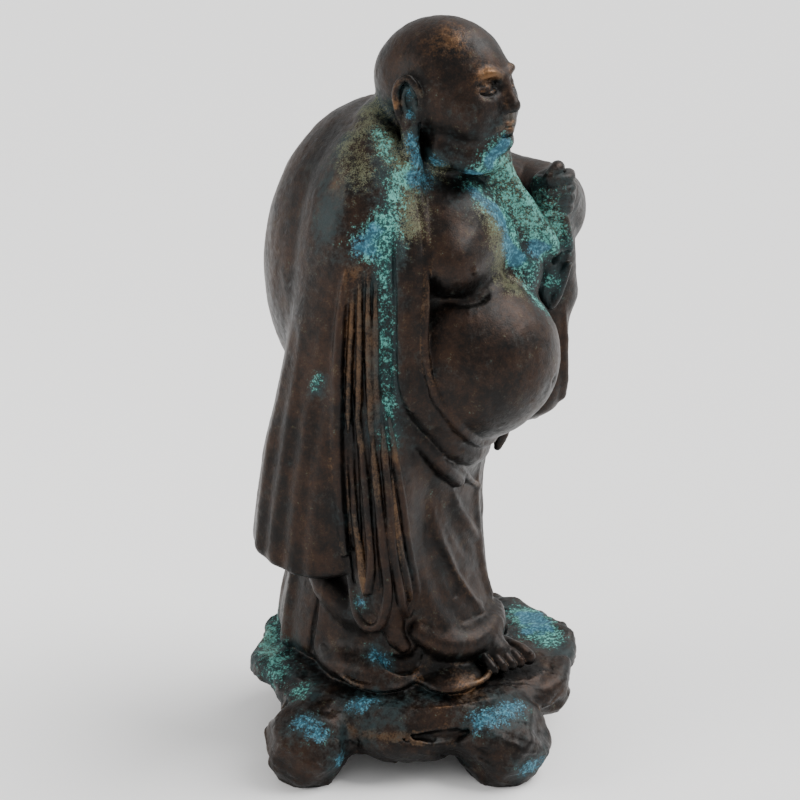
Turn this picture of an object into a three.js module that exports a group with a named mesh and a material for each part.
// A cast bronze budai figure: a standing monk in an open robe, with a sack on its back, on a rock base.
// The whole work is one casting. It is modelled the way it was, in clay: lumps and strands are pressed
// together or scooped out, and the skin of the clay is then drawn as triangles. Millimetres, +Z up, and
// the figure looks along -Y, so its right hand is at -X.
import * as THREE from 'three';

// Driving sizes of the real object, in millimetres.
const FIGURE_HEIGHT = 400; // sole to crown
const BASE_HEIGHT = 56; // floor to sole
const BASE_LENGTH = 212; // rock plate, along its long axis
const BASE_WIDTH = 184; // rock plate, across
const BASE_TURN = 60; // degrees, long axis of the plate, from the figure's left towards its front
const PLATE_THICKNESS = 14; // rim of the rock plate
const PLATE_DROOP = 9; // how far the plate's rim falls away towards the front
const PLATE_UNEVEN = 1.6; // dips and rises of the plate's top
const PLATE_CENTRE = [0, 4]; // the plate's middle, from the figure's own
const LUMP_RADIUS = 25; // the rounded feet under the plate
const FOOT_LIFT = 15; // the rock's underside between the feet, above the floor
const ROCK_BLEND = 8; // how far the stones of the base run into one another

// How finely the clay's skin is drawn.
const GRID_STEP = 3;
const TRIANGLE_BUDGET = 9600;

// The figure is posed in four-hundredths of its height, so at 400 mm one unit is one millimetre.
const UNIT = FIGURE_HEIGHT / 400;

const { clamp, lerp, degToRad } = THREE.MathUtils;

// Clay tools

// Joins two distances so that the crease between them is filled over a width of about `soft`.
function softMin(a, b, soft) {
  const overlap = Math.max(soft - Math.abs(a - b), 0) / soft;
  return Math.min(a, b) - (overlap * overlap * soft) / 4;
}

// A stroke is one lump of clay: its distance function, a sphere that holds it, and how softly it joins.
function stroke(distance, centre, reach, { soft = 4, cut = false } = {}) {
  return { distance, centre, reach, soft, cut };
}

// Cuts one distance by another, with the edge between them rounded over about `soft`.
const softMax = (a, b, soft) => -softMin(-a, -b, soft);

const length = (x, y, z) => Math.sqrt(x * x + y * y + z * z);

// How far a place is from the sphere that holds a stroke.
const gap = (s, x, y, z) => length(x - s.centre.x, y - s.centre.y, z - s.centre.z) - s.reach;

// The distance to clay built up from strokes, in order.
function clayDistance(strokes, x, y, z) {
  let d = 1e3;
  for (const s of strokes) {
    const away = gap(s, x, y, z);
    if (s.cut && away < s.soft - d) {
      d = softMax(d, -s.distance(x, y, z), s.soft);
    } else if (!s.cut && away < d + s.soft) {
      d = softMin(d, s.distance(x, y, z), s.soft);
    }
  }
  return d;
}

const point = (p) => new THREE.Vector3(...p);

// An egg-shaped lump with half-sizes `radii`, turned by a quaternion.
function ball(centre, radii, options = {}) {
  const c = point(centre);
  const [rx, ry, rz] = radii;
  const turn = (options.turn ?? new THREE.Quaternion()).clone().invert();
  const m = new THREE.Matrix4().makeRotationFromQuaternion(turn).elements;
  const distance = (x, y, z) => {
    const dx = x - c.x;
    const dy = y - c.y;
    const dz = z - c.z;
    const lx = (m[0] * dx + m[4] * dy + m[8] * dz) / rx;
    const ly = (m[1] * dx + m[5] * dy + m[9] * dz) / ry;
    const lz = (m[2] * dx + m[6] * dy + m[10] * dz) / rz;
    const k = length(lx, ly, lz);
    return (k * (k - 1)) / (length(lx / rx, ly / ry, lz / rz) + 1e-9);
  };
  return stroke(distance, c, Math.max(rx, ry, rz), options);
}

// A boulder: an egg with flats knocked off it all round, their depths set by `seed`.
function boulder(centre, radii, seed, options = {}) {
  const egg = ball(centre, radii, options);
  const [cx, cy, cz] = centre;
  const [rx, ry, rz] = radii;
  const flats = [];
  const count = 15;
  const round = 0.12 * Math.min(rx, ry, rz);
  for (let i = 0; i < count; i++) {
    const up = 1 - (2 * i + 1) / count;
    const out = Math.sqrt(1 - up * up);
    const angle = i * 2.4 + seed;
    const depth = 0.76 + 0.17 * Math.abs(Math.sin(5 * i + 3 * seed));
    const normal = [(out * Math.cos(angle)) / rx, (out * Math.sin(angle)) / ry, up / rz];
    const long = length(...normal);
    flats.push([...normal.map((n) => n / long), depth / long]);
  }
  const distance = (x, y, z) => {
    let d = egg.distance(x, y, z);
    for (const [a, b, c, depth] of flats) {
      d = softMax(d, a * (x - cx) + b * (y - cy) + c * (z - cz) - depth, round);
    }
    return d;
  };
  return stroke(distance, egg.centre, egg.reach, options);
}

// A strand of clay along a smooth curve through `places`, its thickness running through `radii`. Where a
// radius is below zero the strand has not yet come up out of the clay.
function strand(places, radii, options = {}) {
  const curve = new THREE.CatmullRomCurve3(places.map(point), options.closed ?? false, 'centripetal');
  const count = (places.length - 1) * (options.steps ?? 4);
  const nodes = [];
  for (let i = 0; i <= count; i++) {
    const share = (i / count) * (radii.length - 1);
    const k = Math.min(Math.floor(share), radii.length - 2);
    const radius = radii.length > 1 ? lerp(radii[k], radii[k + 1], share - k) : radii[0];
    nodes.push(...curve.getPoint(i / count), radius);
  }
  const n = Float64Array.from(nodes);
  const around = new THREE.Box3();
  for (let i = 0; i <= count; i++) {
    around.expandByPoint(new THREE.Vector3(n[4 * i], n[4 * i + 1], n[4 * i + 2]));
  }
  const centre = around.getCenter(new THREE.Vector3());
  const reach = around.getSize(new THREE.Vector3()).length() / 2 + Math.max(...radii);
  const distance = (x, y, z) => {
    let best = 1e3;
    for (let i = 0; i < 4 * count; i += 4) {
      const px = x - n[i];
      const py = y - n[i + 1];
      const pz = z - n[i + 2];
      const ex = n[i + 4] - n[i];
      const ey = n[i + 5] - n[i + 1];
      const ez = n[i + 6] - n[i + 2];
      const t = clamp((px * ex + py * ey + pz * ez) / (ex * ex + ey * ey + ez * ez + 1e-9), 0, 1);
      best = Math.min(best, length(px - t * ex, py - t * ey, pz - t * ez) - lerp(n[i + 3], n[i + 7], t));
    }
    return best;
  };
  return stroke(distance, centre, reach, options);
}

// A hanging cloth, drawn as rings one above the other. Each row gives a ring's height, its middle (x, y)
// and how far it reaches to the figure's right, left, front and back. `square` above 2 makes it boxier, and
// `lean` and `bow` lift the rings towards the front and towards both ends.
class Cloth {
  constructor(rows, { square = 2, lean = 0, bow = 0 } = {}) {
    this.rows = rows;
    this.square = square;
    this.middle = rows[Math.floor(rows.length / 2)][2];
    this.lift = (y) => -lean * (y - this.middle) + bow * (y - this.middle) ** 2;
  }

  // The ring at a height: its middle and its four reaches, eased between the rows.
  ring(z) {
    const { rows } = this;
    const top = rows.length - 1;
    const inside = clamp(z, rows[0][0], rows[top][0]);
    let i = 0;
    while (i < top - 1 && rows[i + 1][0] < inside) i++;
    const before = rows[Math.max(i - 1, 0)];
    const after = rows[Math.min(i + 2, top)];
    const [a, b] = [rows[i], rows[i + 1]];
    const span = b[0] - a[0];
    const t = (inside - a[0]) / span;
    const slopeA = (k) => ((b[k] - before[k]) / (b[0] - before[0])) * span;
    const slopeB = (k) => ((after[k] - a[k]) / (after[0] - a[0])) * span;
    const ease = (k) =>
      (2 * t ** 3 - 3 * t ** 2 + 1) * a[k] +
      (t ** 3 - 2 * t ** 2 + t) * slopeA(k) +
      (3 * t ** 2 - 2 * t ** 3) * b[k] +
      (t ** 3 - t ** 2) * slopeB(k);
    return [ease(1), ease(2), ease(3), ease(4), ease(5), ease(6)];
  }

  // The ring's radius in the direction (dx, dy) of its middle.
  radius(ring, dx, dy) {
    const [, , right, left, front, back] = ring;
    const long = length(dx, dy, 0) + 1e-6;
    const across = Math.abs(dx / long) / (dx < 0 ? right : left);
    const along = Math.abs(dy / long) / (dy < 0 ? front : back);
    return (across ** this.square + along ** this.square) ** (-1 / this.square);
  }

  // The place on the cloth at an angle in degrees (0 is the figure's front, 90 its right) and a height,
  // lifted off it.
  place(angle, z, lift = 0) {
    const ring = this.ring(z);
    const dx = -Math.sin(degToRad(angle));
    const dy = -Math.cos(degToRad(angle));
    const r = this.radius(ring, dx, dy) + lift;
    return [ring[0] + r * dx, ring[1] + r * dy, z + this.lift(ring[1] + r * dy)];
  }

  // The cloth itself as a stroke, filled like a bell, between its lowest and highest rows.
  body(options = {}) {
    const low = this.rows[0][0];
    const high = this.rows[this.rows.length - 1][0];
    const wide = Math.max(...this.rows.flatMap((row) => row.slice(3)));
    const tall = (high - low) / 2;
    const [x0, y0] = this.rows[Math.floor(this.rows.length / 2)].slice(1, 3);
    const round = options.round ?? 6;
    const distance = (x, y, z) => {
      const level = z - this.lift(y);
      const ring = this.ring(level);
      const dx = x - ring[0];
      const dy = y - ring[1];
      const side = (length(dx, dy, 0) - this.radius(ring, dx, dy)) * 0.92;
      const end = Math.max(low - level, level - high);
      return softMax(side, end, round);
    };
    return stroke(distance, point([x0, y0, low + tall]), Math.hypot(wide, tall) + 20, options);
  }

  // A raised fold (or, with cut, a groove) that follows the cloth through [angle, height] pairs.
  fold(path, radii, options = {}) {
    const lift = options.lift ?? -1;
    const flat = new THREE.CatmullRomCurve3(path.map(([a, z]) => point([a, z, 0])), false, 'centripetal');
    const count = (path.length - 1) * 4;
    const places = [];
    for (let i = 0; i <= count; i++) {
      const { x, y } = flat.getPoint(i / count);
      places.push(this.place(x, y, lift));
    }
    return strand(places, radii, { soft: 3, steps: 1, ...options });
  }
}

// The robe's skirt and back, under everything else

const robe = new Cloth([
  [-4, -4, 14, 60, 58, 66, 80],
  [18, -4, 14, 58, 56, 62, 78],
  [50, -3, 14, 54, 53, 52, 72],
  [85, -2, 14, 53, 52, 48, 66],
  [115, 0, 12, 55, 54, 46, 60],
  [147, 0, 8, 58, 58, 50, 56],
  [185, 0, 4, 62, 62, 44, 54],
  [235, 0, 4, 62, 62, 38, 50],
  [285, 0, 6, 60, 62, 34, 42],
  [314, 0, 12, 42, 44, 34, 30],
  [334, 0, 14, 20, 22, 26, 22],
], { square: 2.3 });

// Bare chest and belly

function torso() {
  const crease = [[-46, -36, 243], [-37, -39, 240], [-32, -46, 239], [-24, -53, 240], [-14, -56, 246]];
  return [
    robe.body({ soft: 6, round: 14 }),
    ball([0, -28, 197], [58, 61, 54], { soft: 8 }),
    ball([0, -18, 268], [50, 38, 42], { soft: 10 }),
    ball([-26, -36, 263], [25, 20, 21], { soft: 7 }),
    ball([26, -36, 263], [25, 20, 21], { soft: 7 }),
    strand([[0, -2, 300], [0, -8, 330]], [26, 23], { soft: 10 }),
    ball([9, -91, 186], [3.6, 5, 3.4], { cut: true, soft: 4 }),
    strand(crease, [-1, 2, 2.4, 2, -1], { cut: true, soft: 4 }),
    ball([30, -52, 246], [16, 14, 18], { soft: 9 }),
    ball([-34, -54, 260], [2.2, 2, 2.2], { soft: 2 }),
    ...lapels(),
    ...skirt(),
    ...foot(-7, -61.5, 13, 1),
    ...foot(42, -24, -25, -1),
  ];
}

// Places moved by `times` a step.
const shifted = (places, by, times) => places.map((p) => p.map((v, axis) => v + times * by[axis]));

// The robe's open edge: round the nape, down both sides of the chest and under the belly.
function lapels() {
  const rim = [
    [-31, 6, 327], [-34, -14, 309], [-43, -25, 288], [-55, -34, 250], [-59, -36, 215], [-57, -41, 189],
    [-46, -48, 170], [-33, -51, 157], [-16, -51, 148], [2, -49, 145], [22, -44, 147], [40, -36, 151],
    [56, -22, 160],
  ];
  const band = [
    [-37, 4, 319], [-44, -8, 300], [-53, -17, 280], [-58, -23, 250], [-59, -24, 215], [-57, -27, 190],
    [-48, -35, 171], [-36, -41, 157],
  ];
  const nape = [[-34, -12, 314], [-33, 12, 332], [0, 27, 343], [30, 12, 334], [22, -14, 322]];
  const apron = [[-46, -33, 166], [-33, -39, 150], [-14, -41, 141], [4, -38, 137], [20, -34, 139]];
  const strokes = [
    strand(nape, [7, 8, 8, 8, 7], { soft: 5 }),
    strand(apron, [5, 8, 9, 8, 5], { soft: 6 }),
  ];
  for (const side of [-1, 1]) {
    const half = shifted(band, [2.1, -3.6, 0], side);
    strokes.push(strand(half, [6, 6.6, 6.8, 6.8, 6.8, 6.8, 6, 4], { soft: 5 }));
  }
  const thickness = [3.6, 3.4, 2.8, 2.3, 2.3, 2.4, 2.6, 2.8, 2.8, 2.8, 2.8, 2.8, 2.8];
  strokes.push(strand(rim, thickness, { soft: 2.5 }));
  // The left side is a flat band of three gathers that runs from the neck to the raised cuff.
  const gather = [[10, -39, 318], [17, -47, 295], [25, -55, 280], [35, -61, 264], [47, -61, 250]];
  strokes.push(strand(shifted(gather, [5, 3, 0], 1), [8, 9, 9, 8, 7], { soft: 6 }));
  for (const side of [-1, 0, 1]) {
    const fold = shifted(gather, [3, -5.2, 3], side);
    strokes.push(strand(fold, [4.4, 5.2, 5.2, 4.8, 3.6], { soft: 1.6 }));
  }
  return strokes;
}

// Folds of the skirt: over the right leg, round the feet, and down the left side and the back.
function skirt() {
  const tuck = [[51, 168], [37, 152], [27, 136], [10, 122], [-10, 111], [-30, 103]];
  const shin = [[31, 110], [20, 94], [6, 76], [-14, 56]];
  const thigh = [[44, 100], [30, 72], [17, 50], [5, 36]];
  const strokes = [
    // the cloth tucked over the girdle at the right hip, and the girdle's end at the left
    robe.fold([[66, 170], [54, 154], [36, 134], [19, 121]], [1.5, 4.8, 6, 5], { soft: 2, lift: 0.5 }),
    robe.fold([[13, 118], [9, 115]], [2.4], { cut: true, soft: 1.5, lift: 2 }),
    robe.fold(tuck, [1.2, 2, 2.4, 2.4, 2, 1], { soft: 2, lift: 0.4 }),
    strand([[33, -36, 150], [35, -39, 140], [33, -37, 128]], [4, 5, 2.6], { soft: 4 }),
    // the folds drawn across the leg by its step
    robe.fold([[24, 119], [16, 104], [0, 88], [-24, 68]], [-1, 3, 3.6, 2], { soft: 4 }),
    robe.fold(shin, [-1, 3, 3, -1], { cut: true, soft: 4, lift: 2 }),
    robe.fold([[50, 126], [36, 92], [24, 66], [10, 44], [-2, 32]], [-1, 3.6, 4.2, 4, 3], { soft: 5 }),
    robe.fold(thigh, [-1, 3.6, 4, 1], { cut: true, soft: 4, lift: 2.8 }),
    robe.fold([[58, 120], [52, 80], [44, 46], [30, 26]], [6, 8, 9, 8], { soft: 6, lift: -3 }),
    // the hem over the right foot
    robe.fold([[48, 30], [32, 20], [12, 17], [-8, 18], [-26, 22]], [6, 9, 10.5, 10, 6], { soft: 5, lift: 0 }),
    robe.fold([[-20, 20], [-45, 14], [-70, 9], [-95, 6]], [3, 6, 5, 4], { soft: 6, lift: -1 }),
  ];
  // the hem that spreads over the rock at the right, in two curled waves with a thin rim
  const curl = [
    [-62, 34, 11], [-70, 20, 4], [-78, 4, 1], [-76, -10, 0], [-69, -19, 0], [-62, -25, 1], [-50, -28, 2],
    [-41, -25, 4], [-33, -17, 11],
  ];
  const furl = [[-65, -7, 20], [-62, -17, 12], [-55, -26, 12], [-51, -28, 19]];
  const tongue = [[-61, -17, 50], [-58, -14, 37], [-57, -15, 28], [-55, -19, 22]];
  const wave = [
    [-13, -43, 14], [-15, -52, 6], [-21, -61, 2], [-33, -64, 1], [-47, -57, 0], [-55, -45, 0], [-56, -32, 1],
  ];
  strokes.push(
    ball([-58, 6, 4], [18, 32, 12], { soft: 8 }),
    ball([-60, -8, 0], [18, 19, 5], { soft: 4 }),
    strand(curl, [2.6, 2.2, 2.2, 2.2, 2.2, 2, 2, 2, 1.6], { soft: 1.5 }),
    strand(furl, [4, 6, 6, 3], { cut: true, soft: 1.5 }),
    strand(tongue, [2.6, 5, 6.4, 4.6], { soft: 1.5 }),
    ball([-38, -44, 0], [22, 18, 6], { soft: 6 }),
    strand(wave, [1.4, 2, 2, 2, 2, 2, 1.6], { soft: 1.5 }),
    strand([[-56, 46, 74], [-58, 34, 52], [-56, 18, 38], [-52, 0, 30]], [6, 9, 9, 7], { soft: 7 }),
    robe.fold([[118, 40], [119, 24], [119, 6]], [1.4], { cut: true, soft: 2 }),
  );
  // long folds round the left side and the back
  for (let i = 0; i < 9; i++) {
    const angle = 142 + i * 17 + 4 * Math.sin(i * 2.3);
    const path = [[angle, 168 - 9 * (i % 3)], [angle + 3, 90], [angle + 5 * Math.sin(i), 4]];
    strokes.push(robe.fold(path, [-2, 3.2, 4.4], { soft: 5 }));
  }
  for (const [angle, lean] of [[-16, -8], [-36, -10], [-58, -12]]) {
    const path = [[angle, 138], [angle + lean / 2, 84], [angle + lean, 34]];
    strokes.push(robe.fold(path, [-2, 3, 3.4], { soft: 5 }));
  }
  return strokes;
}

// A bare foot, its toes out from under the hem, turned by `turn` degrees towards the figure's right.
// `side` is 1 for the right foot and -1 for the left.
function foot(x, y, turn, side) {
  const a = degToRad(turn);
  const place = (across, ahead, z) => [
    x + across * Math.cos(a) - ahead * Math.sin(a),
    y - across * Math.sin(a) - ahead * Math.cos(a),
    z,
  ];
  const strokes = [strand([place(0, -24, 9), place(0, -4, 7)], [13, 10], { soft: 5 })];
  for (let toe = 0; toe < 5; toe++) {
    const across = side * (12.5 - 6.4 * toe + (toe === 0 ? 1 : 0));
    const long = [12, 11, 10, 8.5, 6.5][toe];
    const thick = [4.6, 3.6, 3.4, 3.3, 3.1][toe];
    const path = [place(across * 0.9, -6, 8), place(across, long - 5, 6), place(across, long, thick - 1)];
    strokes.push(strand(path, [thick * 1.1, thick, thick], { soft: 1 }));
  }
  return strokes;
}

// Head

const HEAD_CENTRE = [1, -17, 354];
const headTurn = new THREE.Quaternion().setFromEuler(new THREE.Euler(degToRad(-4), 0, degToRad(-1), 'ZXY'));
const inHead = (p) => point(p).applyQuaternion(headTurn).add(point(HEAD_CENTRE)).toArray();

function head() {
  const turned = { turn: headTurn, soft: 5 };
  const egg = (centre, radii, options = {}) => ball(inHead(centre), radii, { ...turned, ...options });
  const line = (places, radii, options = {}) => strand(places.map(inHead), radii, { soft: 2.5, ...options });
  const strokes = [
    egg([0, 4, 10], [35.5, 41, 36], { soft: 8 }),
    egg([0, -9, -5], [31, 30, 27], { soft: 12 }),
    egg([0, -20, -20], [20, 15, 12], { soft: 10 }),
    line([[-22, -6, -30], [-11, -22, -36], [11, -22, -36], [22, -6, -30]], [8, 9, 9, 8], { soft: 8 }),
  ];
  for (const side of [-1, 1]) {
    const brow = [[5 * side, -37.8, 12], [12 * side, -36.8, 14.6], [20 * side, -30.8, 13]];
    const lids = [[7 * side, -36.2, 5], [13 * side, -36.8, 3.4], [19 * side, -33, 5]];
    strokes.push(
      egg([17 * side, -24, -9], [12, 11, 12], { soft: 9 }),
      egg([13 * side, -37.5, 6], [7.5, 4, 5], { cut: true, soft: 5 }),
      egg([13 * side, -31, 5], [7, 5.5, 5], { soft: 2 }),
      line(brow, [1, 1.7, 0.8], { soft: 5 }),
      line(lids, [0.8], { cut: true, soft: 1 }),
      egg([4.5 * side, -39, -8], [3.6, 4.2, 3.2], { soft: 2.5 }),
      ...ear(side, egg, line),
    );
  }
  const lips = [[-11, -36, -15.5], [-4, -40, -17.5], [4, -40, -17.5], [11, -36, -15.5]];
  strokes.push(
    line([[0, -38, 9], [0, -41, 0], [0, -43, -6.5]], [2.8, 3.2, 4.6], { soft: 5 }),
    egg([0, -35, -17], [12, 5, 6], { soft: 5 }),
    line(lips, [0.8, 1.3, 1.3, 0.8], { cut: true, soft: 1.5 }),
    egg([0, -34.5, -26], [9, 6, 6], { soft: 5 }),
  );
  return strokes;
}

// One ear, with the long lobe of the type: a rim, a hollow and a heavy lobe that reaches the shoulder.
function ear(side, egg, line) {
  const rim = [[34, -1, -6], [37, -2, 7], [39, 4, 15], [39.5, 11, 9], [38, 11, -6], [36, 7, -18]];
  return [
    egg([34 * side, 5, 2], [4, 9, 14], { soft: 3 }),
    line(rim.map(([x, y, z]) => [x * side, y, z]), [1.8, 2.2, 2.4, 2.4, 2.6, 3], { soft: 2 }),
    egg([38 * side, 4.5, 2], [2.4, 4, 7], { cut: true, soft: 2 }),
    line([[35 * side, 5, -10], [36 * side, 6, -24], [36 * side, 6, -38]], [5, 5.4, 6.2], { soft: 3 }),
  ];
}

// The sack, its neck drawn over the left shoulder to the fist

function sack() {
  return [
    ball([13, 32, 246], [85, 72, 102], { soft: 3 }),
    strand([[52, 22, 262], [70, -12, 272], [76, -42, 274]], [46, 35, 29], { soft: 8 }),
    strand([[74, -46, 276], [62, -58, 286], [50, -66, 293]], [24, 17, 10], { soft: 5 }),
  ];
}

// Right shoulder and the long sleeve that hangs to the shin

const sleeve = new Cloth([
  [66, -52, 40, 33, 26, 34, 46],
  [95, -52, 38, 33, 28, 32, 44],
  [130, -52, 34, 33, 30, 32, 42],
  [180, -51, 28, 32, 30, 30, 36],
  [225, -50, 22, 32, 30, 30, 32],
  [265, -47, 18, 33, 30, 30, 30],
  [295, -41, 17, 33, 30, 28, 29],
  [316, -33, 17, 28, 28, 23, 24],
  [332, -24, 16, 21, 22, 17, 17],
], { square: 2.4, lean: 0.1, bow: 0.005 });

// The gathered pleats in front of the sleeve
const pleats = new Cloth([
  [32, -52, -4, 17, 12, 12, 17],
  [60, -50, -6, 22, 16, 18, 22],
  [100, -51, -5, 23, 20, 20, 24],
  [150, -51, -4, 24, 22, 20, 24],
  [200, -51, -2, 25, 24, 20, 22],
  [245, -50, 0, 25, 24, 20, 20],
  [285, -44, 2, 22, 24, 17, 18],
], { square: 2.2 });

function rightArm() {
  const upperArm = [[-22, 18, 330], [-46, 14, 306], [-57, 12, 268], [-58, 10, 230]];
  // Each pleat runs down, turns at the hem and runs up again, one loop inside another.
  const outer = [
    [130, 215], [133, 155], [135, 116], [133, 78], [130, 50], [112, 39], [89, 36], [68, 42], [62, 58],
    [64, 84], [71, 123], [76, 160], [70, 235],
  ];
  const inner = [
    [112, 210], [115, 157], [111, 120], [104, 88], [96, 60], [85, 83], [88, 122], [94, 159], [88, 240],
  ];
  const front = [
    [58, 200], [61, 161], [55, 123], [50, 84], [36, 53], [4, 43], [-5, 52], [18, 81], [34, 121], [46, 154],
    [52, 176],
  ];
  const strokes = [
    strand(upperArm, [14, 22, 25, 18], { soft: 14 }),
    sleeve.body({ soft: 5, round: 6 }),
    pleats.body({ soft: 6, round: 10 }),
    pleats.fold(outer, [-2, 2.6, 3.1, 3.2, 3.2, 3.2, 3.1, 2.6, -2], { soft: 1, lift: 0.3 }),
    pleats.fold(inner, [-2, 2.4, 3, 3, 3, 3, 2.4, -2], { soft: 1, lift: 0.3 }),
    pleats.fold(front, [-2, 2.4, 2.8, 3, 3, 3, 2.8, 2.4, 1], { soft: 1, lift: 0.5 }),
    pleats.fold([[52, 168], [45, 110], [30, 70], [14, 54]], [-1, 2, 2.4, 1.6], { soft: 1, lift: 0.8 }),
    pleats.fold([[92, 58], [90, 45]], [2, 4], { cut: true, soft: 2, lift: 2.4 }),
  ];
  // the furrows between them: their angles at the top, half way and low down
  for (const [top, middle, low] of [[124, 127, 124], [104, 104, 99], [85, 79, 76]]) {
    const path = [[top - 4, 262], [top, 200], [middle, 130], [low, 64]];
    strokes.push(pleats.fold(path, [-1, 1.1, 1.3, 1.1], { cut: true, soft: 1, lift: 0.3 }));
  }
  // Higher up the pleats run together towards the shoulder, beside the channel behind the lapel.
  const edge = [
    [-80, 2, 271], [-81, 6, 251], [-82, 9, 218], [-81, 11, 183], [-80, 12, 150], [-78, 12, 120],
    [-74, 11, 84],
  ];
  const ridges = [
    [
      [-74, 2.6, 276], [-78, 1.5, 252], [-79, 2, 227],
      [-78.6, 4, 201], [-78.4, 5, 176], [-77, 6, 148],
    ],
    [
      [-72, -2.4, 274], [-77.4, -3, 252], [-78.3, -3, 227],
      [-77.8, -2.5, 202], [-77.4, -1, 172], [-76, 0, 148],
    ],
    [
      [-70, -6, 274], [-75.4, -7.4, 252], [-76.6, -8, 227],
      [-76.2, -8, 203], [-75.6, -8.6, 172], [-74, -8, 148],
    ],
    [
      [-68, -9, 270], [-73.8, -11.2, 246], [-74.8, -12, 227],
      [-74.4, -12, 203], [-73.4, -12, 174], [-71, -11, 152],
    ],
  ];
  const channel = [
    [-68, -14, 284], [-70, -16, 272], [-72, -17.6, 251], [-72, -17.8, 215], [-71.5, -17.4, 190],
    [-68, -18, 174],
  ];
  const border = [
    [-60, -18, 287], [-62, -20, 275], [-65, -23, 251], [-66, -24, 221], [-65.5, -25, 194], [-61, -28, 178],
  ];
  const crease = [
    [-61, -16, 286], [-64, -18, 276], [-67, -20, 251], [-69, -21, 221], [-68, -22, 194], [-64, -25, 180],
  ];
  strokes.push(
    strand(edge, [-2, 2.4, 3, 3.2, 3, 3, 2], { soft: 3 }),
    ...ridges.map((ridge) => strand(ridge, [1, 1.3, 1.8, 2, 1.9, -1], { soft: 1.5 })),
    strand(channel, [-1, 3.4, 4.2, 4.4, 4.2, 1], { cut: true, soft: 1.5 }),
    strand(border, [-1, 1.8, 2.2, 2.4, 2.4, 1], { soft: 3 }),
    strand(crease, [-1, 0.9, 1.3, 1.4, 1.3, -1], { cut: true, soft: 0.8 }),
  );
  // soft hanging folds of the broad panel behind them
  for (const [angle, lean, top] of [[66, 4, 256], [88, 6, 230], [112, 6, 262], [134, 4, 220]]) {
    const path = [[angle, top], [angle + lean / 2, 150], [angle + lean, 74]];
    strokes.push(sleeve.fold(path, [-4, 2.4, 3], { soft: 7, lift: -1.6 }));
  }
  const shoulder = [[-26, 30, 330], [-52, 34, 304], [-66, 36, 268], [-70, 40, 230]];
  strokes.push(strand(shoulder, [1, 3, 3, 0.6], { soft: 8 }));
  return strokes;
}

// Left arm, raised, with its sleeve

const leftSleeve = new Cloth([
  [118, 60, 16, 24, 24, 20, 46],
  [134, 61, 6, 24, 24, 40, 46],
  [150, 62, -4, 24, 26, 58, 48],
  [190, 63, -7, 26, 27, 60, 42],
  [222, 64, -8, 26, 26, 58, 40],
  [244, 64, -8, 22, 22, 50, 34],
], { square: 2.4 });

function leftArm() {
  const droop = [[44, -54, 242], [46, -58, 233], [50, -63, 221], [53, -68, 231], [56, -72, 246]];
  const strokes = [
    strand([[40, 10, 314], [58, 2, 296], [68, -24, 256], [72, -50, 222]], [22, 27, 24, 18], { soft: 10 }),
    strand([[72, -52, 224], [62, -58, 255], [50, -62, 280]], [17, 14, 10], { soft: 6 }),
    leftSleeve.body({ soft: 6, round: 6 }),
    ...fist([46, -62, 293]),
    // the tail of the gathered cloth under the fist, and the cuff that has slid down the arm
    strand([[46, -70, 284], [52, -72, 268], [57, -71, 256]], [3, 3.4, 3.6], { soft: 2 }),
    strand([[52, -50, 282], [50, -56, 266], [47, -58, 252]], [6, 7, 6], { soft: 5 }),
    strand([[41, -51, 242], [46, -59, 250], [51, -66, 257], [57, -71, 259]], [2, 2.8, 2.8, 2], { soft: 2.5 }),
    ball([52, -60, 236], [7, 8, 13], { soft: 5 }),
    strand(droop, [2.4, 3.2, 3.8, 3.2, 2.4], { soft: 2.5 }),
    strand([[49, -62, 243], [51, -65, 234], [54, -69, 241]], [1.6, 2, 1.6], { soft: 2 }),
    ball([50, -66, 251], [3, 5, 4.4], { cut: true, soft: 2 }),
    ball([55, -72, 251], [2.4, 4, 4], { cut: true, soft: 2 }),
  ];
  const hanging = [
    [30, -6, 166], [4, -8, 158], [-34, -8, 150], [-62, -10, 142], [-92, -8, 132], [-122, -6, 126],
  ];
  for (const [angle, lean, low] of hanging) {
    const path = [[angle, 240], [angle + lean / 2, 196], [angle + lean, low]];
    strokes.push(leftSleeve.fold(path, [-2, 3.2, 3.4], { soft: 4 }));
  }
  return strokes;
}

// The left fist, knuckles out, closed round the gathered mouth of the sack.
function fist([x, y, z]) {
  const strokes = [ball([x, y, z], [12, 12, 13], { soft: 3 })];
  for (let finger = 0; finger < 4; finger++) {
    const high = z + 9.5 - 6.2 * finger;
    const long = [0, 2, 1, -2][finger];
    const path = [
      [x + 8, y - 10 - long * 0.4, high],
      [x - 3, y - 14 - long * 0.4, high - 0.5],
      [x - 11 - long * 0.3, y - 7, high - 1],
      [x - 9, y + 3, high - 1.5],
    ];
    strokes.push(strand(path, [3.9, 3.9, 3.6, 3], { soft: 1 }));
  }
  const thumb = [[x + 6, y - 2, z + 12], [x - 5, y - 8, z + 15], [x - 12, y - 6, z + 11]];
  strokes.push(strand(thumb, [4.6, 4.2, 3.4], { soft: 1.2 }));
  return strokes;
}

// The rock base

// A place given along the plate's long axis, across it and in height.
const plateTurn = degToRad(-BASE_TURN);
const onPlate = (along, across, z) => [
  PLATE_CENTRE[0] + along * Math.cos(plateTurn) - across * Math.sin(plateTurn),
  PLATE_CENTRE[1] + along * Math.sin(plateTurn) + across * Math.cos(plateTurn),
  z,
];

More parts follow.
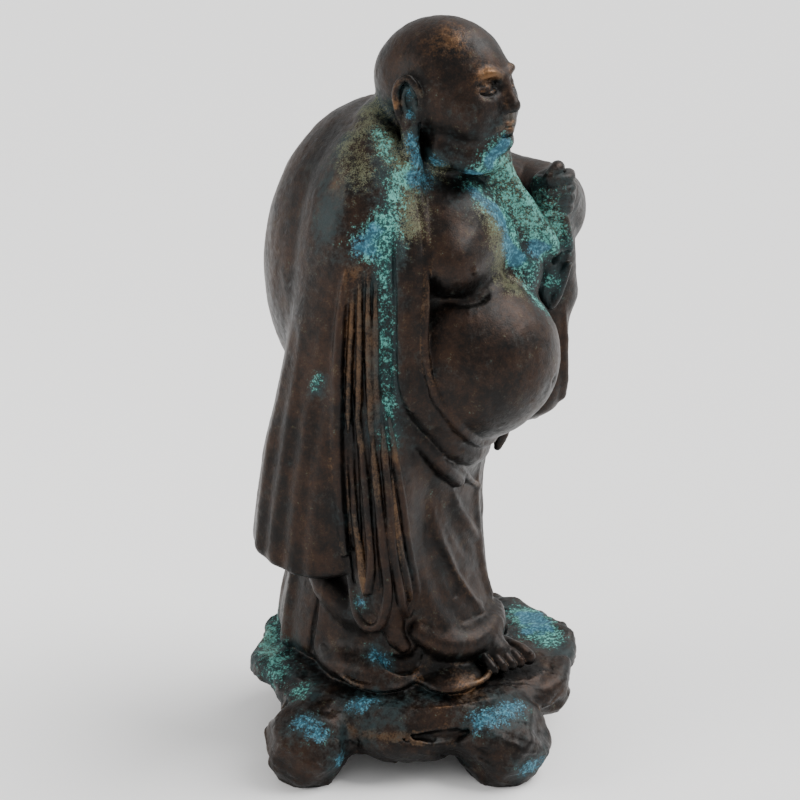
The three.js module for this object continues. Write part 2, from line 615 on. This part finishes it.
function base() {
  const halfLength = BASE_LENGTH / 2;
  const halfWidth = BASE_WIDTH / 2;
  // the plate, with a lobed rim and an uneven top that falls away towards the front
  const plate = (x, y, z) => {
    const px = x - PLATE_CENTRE[0];
    const py = y - PLATE_CENTRE[1];
    const along = (px * Math.cos(plateTurn) + py * Math.sin(plateTurn)) / halfLength;
    const across = (py * Math.cos(plateTurn) - px * Math.sin(plateTurn)) / halfWidth;
    const out = Math.hypot(along, across);
    const angle = Math.atan2(across, along);
    const lobes = 1 - 0.06 * (1 - Math.abs(Math.sin(angle * 5 + 0.9)));
    const side = (out - lobes) * halfWidth;
    const uneven = PLATE_UNEVEN * (Math.sin(angle * 10 + 1.8) + 0.75 * Math.sin(angle * 3 + out * 5));
    const droop = (PLATE_DROOP * Math.max(0.45 - across, 0) + uneven) * out ** 3;
    const level = Math.abs(z + droop + PLATE_THICKNESS / 2) - PLATE_THICKNESS / 2;
    return softMax(side, level, ROCK_BLEND * 0.75);
  };
  // the rock under it, hollowed below
  const core = (x, y, z) => {
    const out = Math.hypot(x - PLATE_CENTRE[0], y - PLATE_CENTRE[1]) / halfWidth;
    const side = (out - 0.94) * halfWidth;
    return Math.max(softMax(side, FOOT_LIFT - BASE_HEIGHT - z, ROCK_BLEND), z + PLATE_THICKNESS / 2);
  };
  const middle = point([...PLATE_CENTRE, -BASE_HEIGHT / 2]);
  const wide = Math.max(halfLength, halfWidth) + BASE_HEIGHT / 2;
  const strokes = [
    stroke(plate, middle, wide, { soft: ROCK_BLEND * 0.5 }),
    stroke(core, middle, wide, { soft: ROCK_BLEND * 0.6 }),
  ];
  // Boulders at shares of the plate's half-length and half-width, from the floor up.
  const r = LUMP_RADIUS;
  const turn = new THREE.Quaternion();
  const rock = (along, across, radii, height, seed, soft) => {
    const centre = onPlate(along * halfLength, across * halfWidth, height - BASE_HEIGHT);
    strokes.push(boulder(centre, radii, seed, { soft: soft * ROCK_BLEND, turn }));
  };
  const lumps = [[-0.63, -0.87, 1], [0.5, -0.83, 1.12], [0.43, 0.57, 1.05], [-0.47, 0.61, 1]];
  lumps.forEach(([along, across, size], i) => {
    const wide = r * size;
    rock(along * 0.8, across * 0.8, [wide * 1.1, wide, r * 0.8], BASE_HEIGHT * 0.54, i, 1);
    rock(along, across, [wide * 1.12, wide * 1.12, r], BASE_HEIGHT * 0.42, i + 0.6, 0.9);
    rock(along, across, [wide * 0.84, wide * 0.84, r], BASE_HEIGHT * 0.24, i + 0.2, 1.1);
  });
  // smaller stones round the sides
  for (let i = 0; i < 6; i++) {
    const angle = i * 0.86 - 0.4;
    const place = [0.82 * Math.cos(angle), 0.8 * Math.sin(angle)];
    const height = BASE_HEIGHT * (0.56 + 0.06 * Math.sin(i * 2));
    rock(...place, [r * 0.9, r * 0.8, r * 0.56], height, i * 1.7, 0.75);
  }
  // the lip of rock that hangs down between the two front lumps, and the groove under the plate's rim
  const tilted = new THREE.Quaternion().setFromAxisAngle(point([0, 0, 1]), plateTurn);
  const lip = onPlate(-0.07 * halfLength, -0.88 * halfWidth, -0.52 * BASE_HEIGHT);
  strokes.push(ball(lip, [r * 1.2, r * 0.66, r * 0.56], { soft: ROCK_BLEND * 1.1, turn: tilted }));
  const groove = [];
  for (let angle = -115; angle <= -35; angle += 10) {
    const across = Math.sin(degToRad(angle));
    const depth = PLATE_THICKNESS * (1.12 - 0.57 * across);
    groove.push(onPlate(0.99 * halfLength * Math.cos(degToRad(angle)), 0.99 * halfWidth * across, -depth));
  }
  const cut = [-1, 1, 1.2, 1, -1].map((share) => (share * PLATE_THICKNESS) / 7);
  strokes.push(strand(groove, cut, { cut: true, soft: ROCK_BLEND * 0.6 }));
  return strokes;
}

// The whole clay, with its underside cut flat

const figureStrokes = [...torso(), ...sack(), ...rightArm(), ...leftArm(), ...head()];
const baseStrokes = base();

// The statue's distance function. Near a place only the strokes `within` a distance of it matter.
function statue(place = [0, 0, 0], within = Infinity) {
  const [fx, fy, fz] = place.map((v) => v / UNIT);
  const figure = figureStrokes.filter((s) => gap(s, fx, fy, fz) * UNIT < within);
  const rock = baseStrokes.filter((s) => gap(s, ...place) < within);
  return (x, y, z) => {
    const body = clayDistance(figure, x / UNIT, y / UNIT, z / UNIT) * UNIT;
    return Math.max(softMin(body, clayDistance(rock, x, y, z), ROCK_BLEND * 0.4), -BASE_HEIGHT - z);
  };
}

// Skin of the clay: every cube of the grid is cut into six tetrahedra that share its long diagonal, so
// the triangles always close. Cubes far from the surface are passed over in blocks.
function skin(clay, box, step) {
  const block = 5;
  const whole = clay();
  const size = box.getSize(new THREE.Vector3());
  const [nx, ny, nz] = size.toArray().map((side) => Math.ceil(side / step / block) * block + 1);
  const index = (i, j, k) => (k * ny + j) * nx + i;
  const [x0, y0, z0] = box.min.toArray();
  const values = new Float64Array(nx * ny * nz);
  const near = (step * block * Math.sqrt(3)) / 2 * 1.4;
  for (let k = 0; k < nz; k += block) {
    for (let j = 0; j < ny; j += block) {
      for (let i = 0; i < nx; i += block) {
        const half = (block - 1) / 2;
        const centre = [x0 + (i + half) * step, y0 + (j + half) * step, z0 + (k + half) * step];
        const mid = whole(...centre);
        const distance = Math.abs(mid) > near ? () => mid : clay(centre, 2 * near);
        for (let c = k; c < Math.min(k + block, nz); c++) {
          for (let b = j; b < Math.min(j + block, ny); b++) {
            for (let a = i; a < Math.min(i + block, nx); a++) {
              const d = distance(x0 + a * step, y0 + b * step, z0 + c * step);
              values[index(a, b, c)] = Math.abs(d) < 0.02 * step ? 0.02 * step : d;
            }
          }
        }
      }
    }
  }
  const positions = [];
  const triangles = [];
  const known = new Map();
  const low = [x0, y0, z0];
  const corner = (n) => [n % nx, Math.floor(n / nx) % ny, Math.floor(n / (nx * ny))];
  const crossing = (a, b) => {
    const key = a < b ? a * values.length + b : b * values.length + a;
    let id = known.get(key);
    if (id === undefined) {
      const t = clamp(values[a] / (values[a] - values[b]), 0.02, 0.98);
      const [p, q] = [corner(a), corner(b)];
      id = positions.length / 3;
      for (let axis = 0; axis < 3; axis++) positions.push(low[axis] + step * lerp(p[axis], q[axis], t));
      known.set(key, id);
    }
    return id;
  };
  // The first two steps of each walk from a cube's low corner to its far one, and which way it turns.
  const walks = [[0, 1, true], [1, 2, true], [2, 0, true], [1, 0, false], [0, 2, false], [2, 1, false]];
  const tetrahedron = (nodes, mirrored) => {
    const inside = [];
    const outside = [];
    for (let n = 0; n < 4; n++) {
      const side = values[nodes[n]] < 0 ? inside : outside;
      side.push(n);
    }
    if (!inside.length || !outside.length) return;
    const order = [...inside, ...outside];
    let swap = mirrored;
    for (const [i, j] of [[0, 1], [0, 2], [0, 3], [1, 2], [1, 3], [2, 3]]) {
      if (order[i] > order[j]) swap = !swap;
    }
    const [a, b, c, d] = order.map((n) => nodes[n]);
    const face = (p, q, r) => (swap ? triangles.push(p, q, r) : triangles.push(p, r, q));
    if (inside.length === 1) {
      face(crossing(a, b), crossing(a, c), crossing(a, d));
    } else if (inside.length === 3) {
      face(crossing(a, d), crossing(b, d), crossing(c, d));
    } else {
      const [ac, ad, bc, bd] = [crossing(a, c), crossing(a, d), crossing(b, c), crossing(b, d)];
      face(ac, ad, bd);
      face(ac, bd, bc);
    }
  };
  const stride = [1, nx, nx * ny];
  const corners = [];
  for (let c = 0; c < 8; c++) {
    corners.push((c & 1) * stride[0] + ((c >> 1) & 1) * stride[1] + (c >> 2) * stride[2]);
  }
  for (let k = 0; k < nz - 1; k++) {
    for (let j = 0; j < ny - 1; j++) {
      for (let i = 0; i < nx - 1; i++) {
        const origin = index(i, j, k);
        let inside = 0;
        for (const step of corners) inside += values[origin + step] < 0 ? 1 : 0;
        if (inside === 0 || inside === 8) continue;
        for (const [first, second, turned] of walks) {
          const one = origin + stride[first];
          tetrahedron([origin, one, one + stride[second], origin + corners[7]], turned);
        }
      }
    }
  }
  return { positions: Float64Array.from(positions), triangles: Int32Array.from(triangles) };
}

// The skin's outermost closed sheet. Pockets shut up between the lumps are filled, as wax fills them.
function outermost({ positions, triangles }) {
  const leader = Int32Array.from({ length: positions.length / 3 }, (_, v) => v);
  const find = (v) => {
    while (leader[v] !== v) v = leader[v] = leader[leader[v]];
    return v;
  };
  for (let t = 0; t < triangles.length; t += 3) {
    leader[find(triangles[t])] = find(triangles[t + 1]);
    leader[find(triangles[t + 1])] = find(triangles[t + 2]);
  }
  let top = 0;
  for (let v = 0; v < leader.length; v++) {
    if (positions[3 * v + 2] > positions[3 * top + 2]) top = v;
  }
  const sheet = find(top);
  return { positions, triangles: triangles.filter((_, i) => find(triangles[i]) === sheet) };
}

// Thins the skin to `budget` triangles. Each vertex remembers the planes it once lay in, and edges whose
// closing strays least from those planes go first. `care` raises the price at places that matter more.
function thin({ positions, triangles }, budget, care) {
  const P = positions;
  const T = triangles;
  const vertices = P.length / 3;
  const around = Array.from({ length: vertices }, () => []);
  const planes = new Float64Array(vertices * 10);
  const n = new Float64Array(3);
  const normal = (i, j, k) => {
    const ax = P[3 * j] - P[3 * i];
    const ay = P[3 * j + 1] - P[3 * i + 1];
    const az = P[3 * j + 2] - P[3 * i + 2];
    const bx = P[3 * k] - P[3 * i];
    const by = P[3 * k + 1] - P[3 * i + 1];
    const bz = P[3 * k + 2] - P[3 * i + 2];
    n[0] = ay * bz - az * by;
    n[1] = az * bx - ax * bz;
    n[2] = ax * by - ay * bx;
    return Math.sqrt(n[0] * n[0] + n[1] * n[1] + n[2] * n[2]);
  };
  const plane = new Float64Array(10);
  for (let t = 0; t < T.length; t += 3) {
    const area = normal(T[t], T[t + 1], T[t + 2]) + 1e-12;
    const [a, b, c] = [n[0] / area, n[1] / area, n[2] / area];
    const d = -(a * P[3 * T[t]] + b * P[3 * T[t] + 1] + c * P[3 * T[t] + 2]);
    plane.set([a * a, a * b, a * c, a * d, b * b, b * c, b * d, c * c, c * d, d * d]);
    for (let q = 0; q < 3; q++) {
      around[T[t + q]].push(t);
      for (let m = 0; m < 10; m++) planes[10 * T[t + q] + m] += plane[m] * area;
    }
  }
  const price = new Float64Array(vertices);
  for (let v = 0; v < vertices; v++) price[v] = care(P[3 * v], P[3 * v + 1], P[3 * v + 2]);
  const s = new Float64Array(10);
  const best = new Float64Array(3);
  // The cost of drawing two vertices together; `best` is then the place where they meet.
  const meet = (i, j) => {
    for (let m = 0; m < 10; m++) s[m] = planes[10 * i + m] + planes[10 * j + m];
    const mx = (P[3 * i] + P[3 * j]) / 2;
    const my = (P[3 * i + 1] + P[3 * j + 1]) / 2;
    const mz = (P[3 * i + 2] + P[3 * j + 2]) / 2;
    const long = length(P[3 * i] - P[3 * j], P[3 * i + 1] - P[3 * j + 1], P[3 * i + 2] - P[3 * j + 2]);
    const c0 = s[4] * s[7] - s[5] * s[5];
    const c1 = s[2] * s[5] - s[1] * s[7];
    const c2 = s[1] * s[5] - s[2] * s[4];
    const det = s[0] * c0 + s[1] * c1 + s[2] * c2;
    let x = mx;
    let y = my;
    let z = mz;
    if (det > 1e-4 * (s[0] + s[4] + s[7]) ** 3) {
      const e0 = s[1] * s[2] - s[0] * s[5];
      x = -(c0 * s[3] + c1 * s[6] + c2 * s[8]) / det;
      y = -(c1 * s[3] + (s[0] * s[7] - s[2] * s[2]) * s[6] + e0 * s[8]) / det;
      z = -(c2 * s[3] + e0 * s[6] + (s[0] * s[4] - s[1] * s[1]) * s[8]) / det;
      if ((x - mx) ** 2 + (y - my) ** 2 + (z - mz) ** 2 > long * long) [x, y, z] = [mx, my, mz];
    }
    best[0] = x;
    best[1] = y;
    best[2] = z;
    const stray = s[0] * x * x + 2 * s[1] * x * y + 2 * s[2] * x * z + 2 * s[3] * x + s[4] * y * y +
      2 * s[5] * y * z + 2 * s[6] * y + s[7] * z * z + 2 * s[8] * z + s[9];
    return (stray + 2e-3 * long ** 3) * (price[i] + price[j]);
  };
  // Whether a vertex's triangles keep facing their way, and stay whole, when it moves to `best`.
  const holds = (v, other) => {
    const old = [P[3 * v], P[3 * v + 1], P[3 * v + 2]];
    for (const t of around[v]) {
      if (T[t] === other || T[t + 1] === other || T[t + 2] === other) continue;
      const before = normal(T[t], T[t + 1], T[t + 2]);
      const [x, y, z] = n;
      P.set(best, 3 * v);
      const after = normal(T[t], T[t + 1], T[t + 2]);
      P.set(old, 3 * v);
      if (after < 0.05 || x * n[0] + y * n[1] + z * n[2] < 0.4 * before * after) return false;
    }
    return true;
  };
  const neighbours = (v) => {
    const found = [];
    for (const t of around[v]) {
      for (let q = 0; q < 3; q++) {
        const other = T[t + q];
        if (other !== v && !found.includes(other)) found.push(other);
      }
    }
    return found;
  };
  let left = T.length / 3;
  for (let limit = 1e-3; left > budget && limit < 1e9; limit *= 1.6) {
    for (let t = 0; t < T.length && left > budget; t += 3) {
      for (let q = 0; q < 3 && T[t] >= 0; q++) {
        const i = T[t + q];
        const j = T[t + ((q + 1) % 3)];
        if (i > j || meet(i, j) > limit) continue;
        const ofI = neighbours(i);
        const ofJ = neighbours(j);
        const shared = ofI.filter((v) => ofJ.includes(v)).length;
        if (shared !== 2 || ofI.length + ofJ.length > 20 || !holds(i, j) || !holds(j, i)) continue;
        P.set(best, 3 * i);
        for (let m = 0; m < 10; m++) planes[10 * i + m] += planes[10 * j + m];
        price[i] = Math.max(price[i], price[j]);
        for (const f of around[j]) {
          const at = [T[f], T[f + 1], T[f + 2]];
          if (at.includes(i)) {
            for (const v of at.filter((v) => v !== j)) around[v].splice(around[v].indexOf(f), 1);
            T[f] = -1;
            left--;
          } else {
            T[f + at.indexOf(j)] = i;
            around[i].push(f);
          }
        }
        around[j] = [];
      }
    }
  }
  const kept = new Map();
  const places = [];
  const faces = [];
  for (let t = 0; t < T.length; t += 3) {
    if (T[t] < 0) continue;
    for (let q = 0; q < 3; q++) {
      const v = T[t + q];
      if (!kept.has(v)) {
        kept.set(v, kept.size);
        places.push(P[3 * v], P[3 * v + 1], P[3 * v + 2]);
      }
      faces.push(kept.get(v));
    }
  }
  return { positions: places, triangles: faces };
}

// The box the clay fits in, with room for the grid's outer cells.
const MARGIN = 3 * GRID_STEP;
const halfBase = Math.max(BASE_LENGTH, BASE_WIDTH) / 2 + LUMP_RADIUS;
const halfFigure = 112 * UNIT;
const workspace = new THREE.Box3(
  point([
    Math.min(PLATE_CENTRE[0] - halfBase, -halfFigure) - MARGIN,
    Math.min(PLATE_CENTRE[1] - halfBase, -halfFigure) - MARGIN,
    -BASE_HEIGHT - 0.9 * MARGIN,
  ]),
  point([
    Math.max(PLATE_CENTRE[0] + halfBase, halfFigure) + MARGIN,
    Math.max(PLATE_CENTRE[1] + halfBase, halfFigure) + MARGIN,
    FIGURE_HEIGHT + MARGIN,
  ]),
);
const clay = outermost(skin(statue, workspace, GRID_STEP));

// Finished solid

// More triangles go to the face, the fist and the foot, which are looked at closest.
const close = (x, y, z, [cx, cy, cz], within) => length(x / UNIT - cx, y / UNIT - cy, z / UNIT - cz) < within;
const care = (x, y, z) => {
  if (close(x, y, z, HEAD_CENTRE, 54)) return y / UNIT < -20 ? 14 : 4;
  if (close(x, y, z, [46, -66, 290], 24) || close(x, y, z, [0, -74, 2], 34)) return 6;
  return 1;
};

const finished = thin(clay, TRIANGLE_BUDGET, care);

// The feet are ground flat, and the statue stands on the origin.
const GRINDING = 0.4;
for (let i = 2; i < finished.positions.length; i += 3) {
  if (finished.positions[i] < GRINDING - BASE_HEIGHT) finished.positions[i] = -BASE_HEIGHT;
}
const geometry = new THREE.BufferGeometry();
geometry.setAttribute('position', new THREE.Float32BufferAttribute(finished.positions, 3));
geometry.setIndex(finished.triangles);
geometry.computeBoundingBox();
const { min, max } = geometry.boundingBox;
geometry.translate(-(min.x + max.x) / 2, -(min.y + max.y) / 2, -min.z);
geometry.computeVertexNormals();

const bronze = new THREE.MeshStandardMaterial({
  name: 'bronze',
  color: 0x3a2c21,
  metalness: 0.9,
  roughness: 0.42,
});
const statueMesh = new THREE.Mesh(geometry, bronze);
statueMesh.name = 'budai_statue';

const group = new THREE.Group();
group.name = 'budai_figure';
group.add(statueMesh);
export default group;
